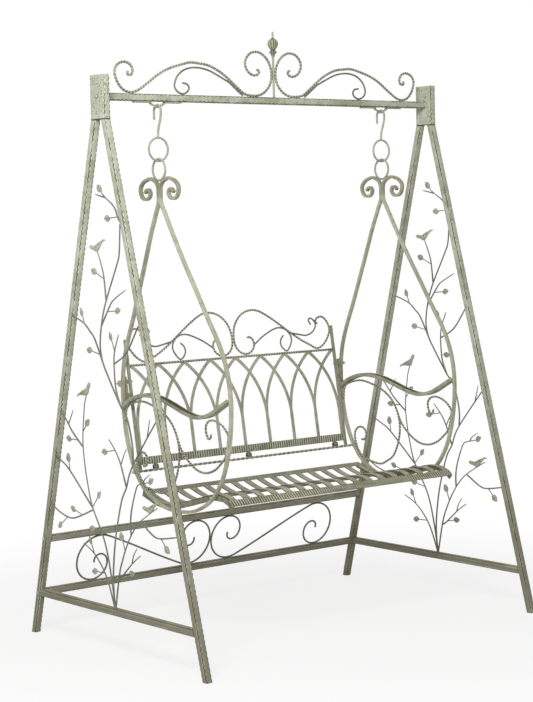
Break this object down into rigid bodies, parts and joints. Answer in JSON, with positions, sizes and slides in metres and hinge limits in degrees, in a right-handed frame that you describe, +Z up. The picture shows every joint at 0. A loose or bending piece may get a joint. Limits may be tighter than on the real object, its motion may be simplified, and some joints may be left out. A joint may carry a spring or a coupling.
{
  "type": "garden swing bench",
  "caption": "Painted steel garden swing bench: an A-frame stand with scrollwork and a hoop-sided slatted seat that swings from hooks and rings.",
  "frame": {"origin": "on the ground under the middle of the stand", "axes": "+X along the top beam towards the right side frame, +Y towards the back, +Z up"},
  "size_m": [1.4996, 1.04, 2.0983],
  "materials": {
    "sage_paint": "antique sage-green paint, rubbed brown on edges, satin",
    "pale_sage_paint": "pale sage-green paint on hammered and ribbed faces, satin",
    "rubbed_sage_paint": "dark rubbed sage paint on twisted rod, satin",
    "rubbed_steel": "worn domed fasteners with traces of paint"
  },
  "bodies": {
    "stand": {"left_front_leg": "sage_paint", "left_rear_leg": "sage_paint", "left_top_block": "pale_sage_paint", "left_side_rail": "sage_paint", "left_branches": "sage_paint", "left_top_twig": "sage_paint", "left_crest_scroll": "rubbed_sage_paint", "left_inner_crest_scroll": "rubbed_sage_paint", "left_rear_scroll": "rubbed_sage_paint", "left_hanger_bracket": "pale_sage_paint", "left_beam_bolt": "rubbed_steel", "left_upper_rail_bolt": "rubbed_steel", "left_lower_rail_bolt": "rubbed_steel", "right_front_leg": "sage_paint", "right_rear_leg": "sage_paint", "right_top_block": "pale_sage_paint", "right_side_rail": "sage_paint", "right_branches": "sage_paint", "right_top_twig": "sage_paint", "right_crest_scroll": "rubbed_sage_paint", "right_inner_crest_scroll": "rubbed_sage_paint", "right_rear_scroll": "rubbed_sage_paint", "right_hanger_bracket": "pale_sage_paint", "right_beam_bolt": "rubbed_steel", "right_upper_rail_bolt": "rubbed_steel", "right_lower_rail_bolt": "rubbed_steel", "top_beam": "sage_paint", "rear_upper_rail": "sage_paint", "rear_lower_rail": "sage_paint", "finial": "sage_paint"},
    "left_hook": {"left_hook": "sage_paint"},
    "right_hook": {"right_hook": "sage_paint"},
    "seat": {"left_lower_ring": "sage_paint", "left_hoop": "sage_paint", "left_armrest": "pale_sage_paint", "left_arm_scroll": "rubbed_sage_paint", "left_seat_rail": "sage_paint", "left_seat_bolt": "rubbed_steel", "left_back_post": "sage_paint", "left_back_bracket": "sage_paint", "left_back_bolt": "rubbed_steel", "left_back_crest": "rubbed_sage_paint", "left_back_nut": "rubbed_steel", "right_lower_ring": "sage_paint", "right_hoop": "sage_paint", "right_armrest": "pale_sage_paint", "right_arm_scroll": "rubbed_sage_paint", "right_seat_rail": "sage_paint", "right_seat_bolt": "rubbed_steel", "right_back_post": "sage_paint", "right_back_bracket": "sage_paint", "right_back_bolt": "rubbed_steel", "right_back_crest": "rubbed_sage_paint", "right_back_nut": "rubbed_steel", "seat_panel": "pale_sage_paint", "back_top_rod": "rubbed_sage_paint", "back_band": "pale_sage_paint", "back_arches": "sage_paint", "back_low_rod": "rubbed_sage_paint"}
  },
  "joints": [
    {"name": "left_hook_swing", "type": "hinge", "parent": "stand", "child": "left_hook", "pos_m": [-0.504, 0, 1.8242], "axis": [1, 0, 0], "range_deg": [-20, 20]},
    {"name": "right_hook_swing", "type": "hinge", "parent": "stand", "child": "right_hook", "pos_m": [0.504, 0, 1.8242], "axis": [1, 0, 0], "range_deg": [-20, 20]},
    {"name": "seat_tilt", "type": "hinge", "parent": "left_hook", "child": "seat", "pos_m": [-0.504, 0, 1.6451], "axis": [1, 0, 0], "range_deg": [-12, 12]}
  ],
  "couplings": [
    {"joint": "right_hook_swing", "follows": "left_hook_swing", "ratio": 1}
  ]
}
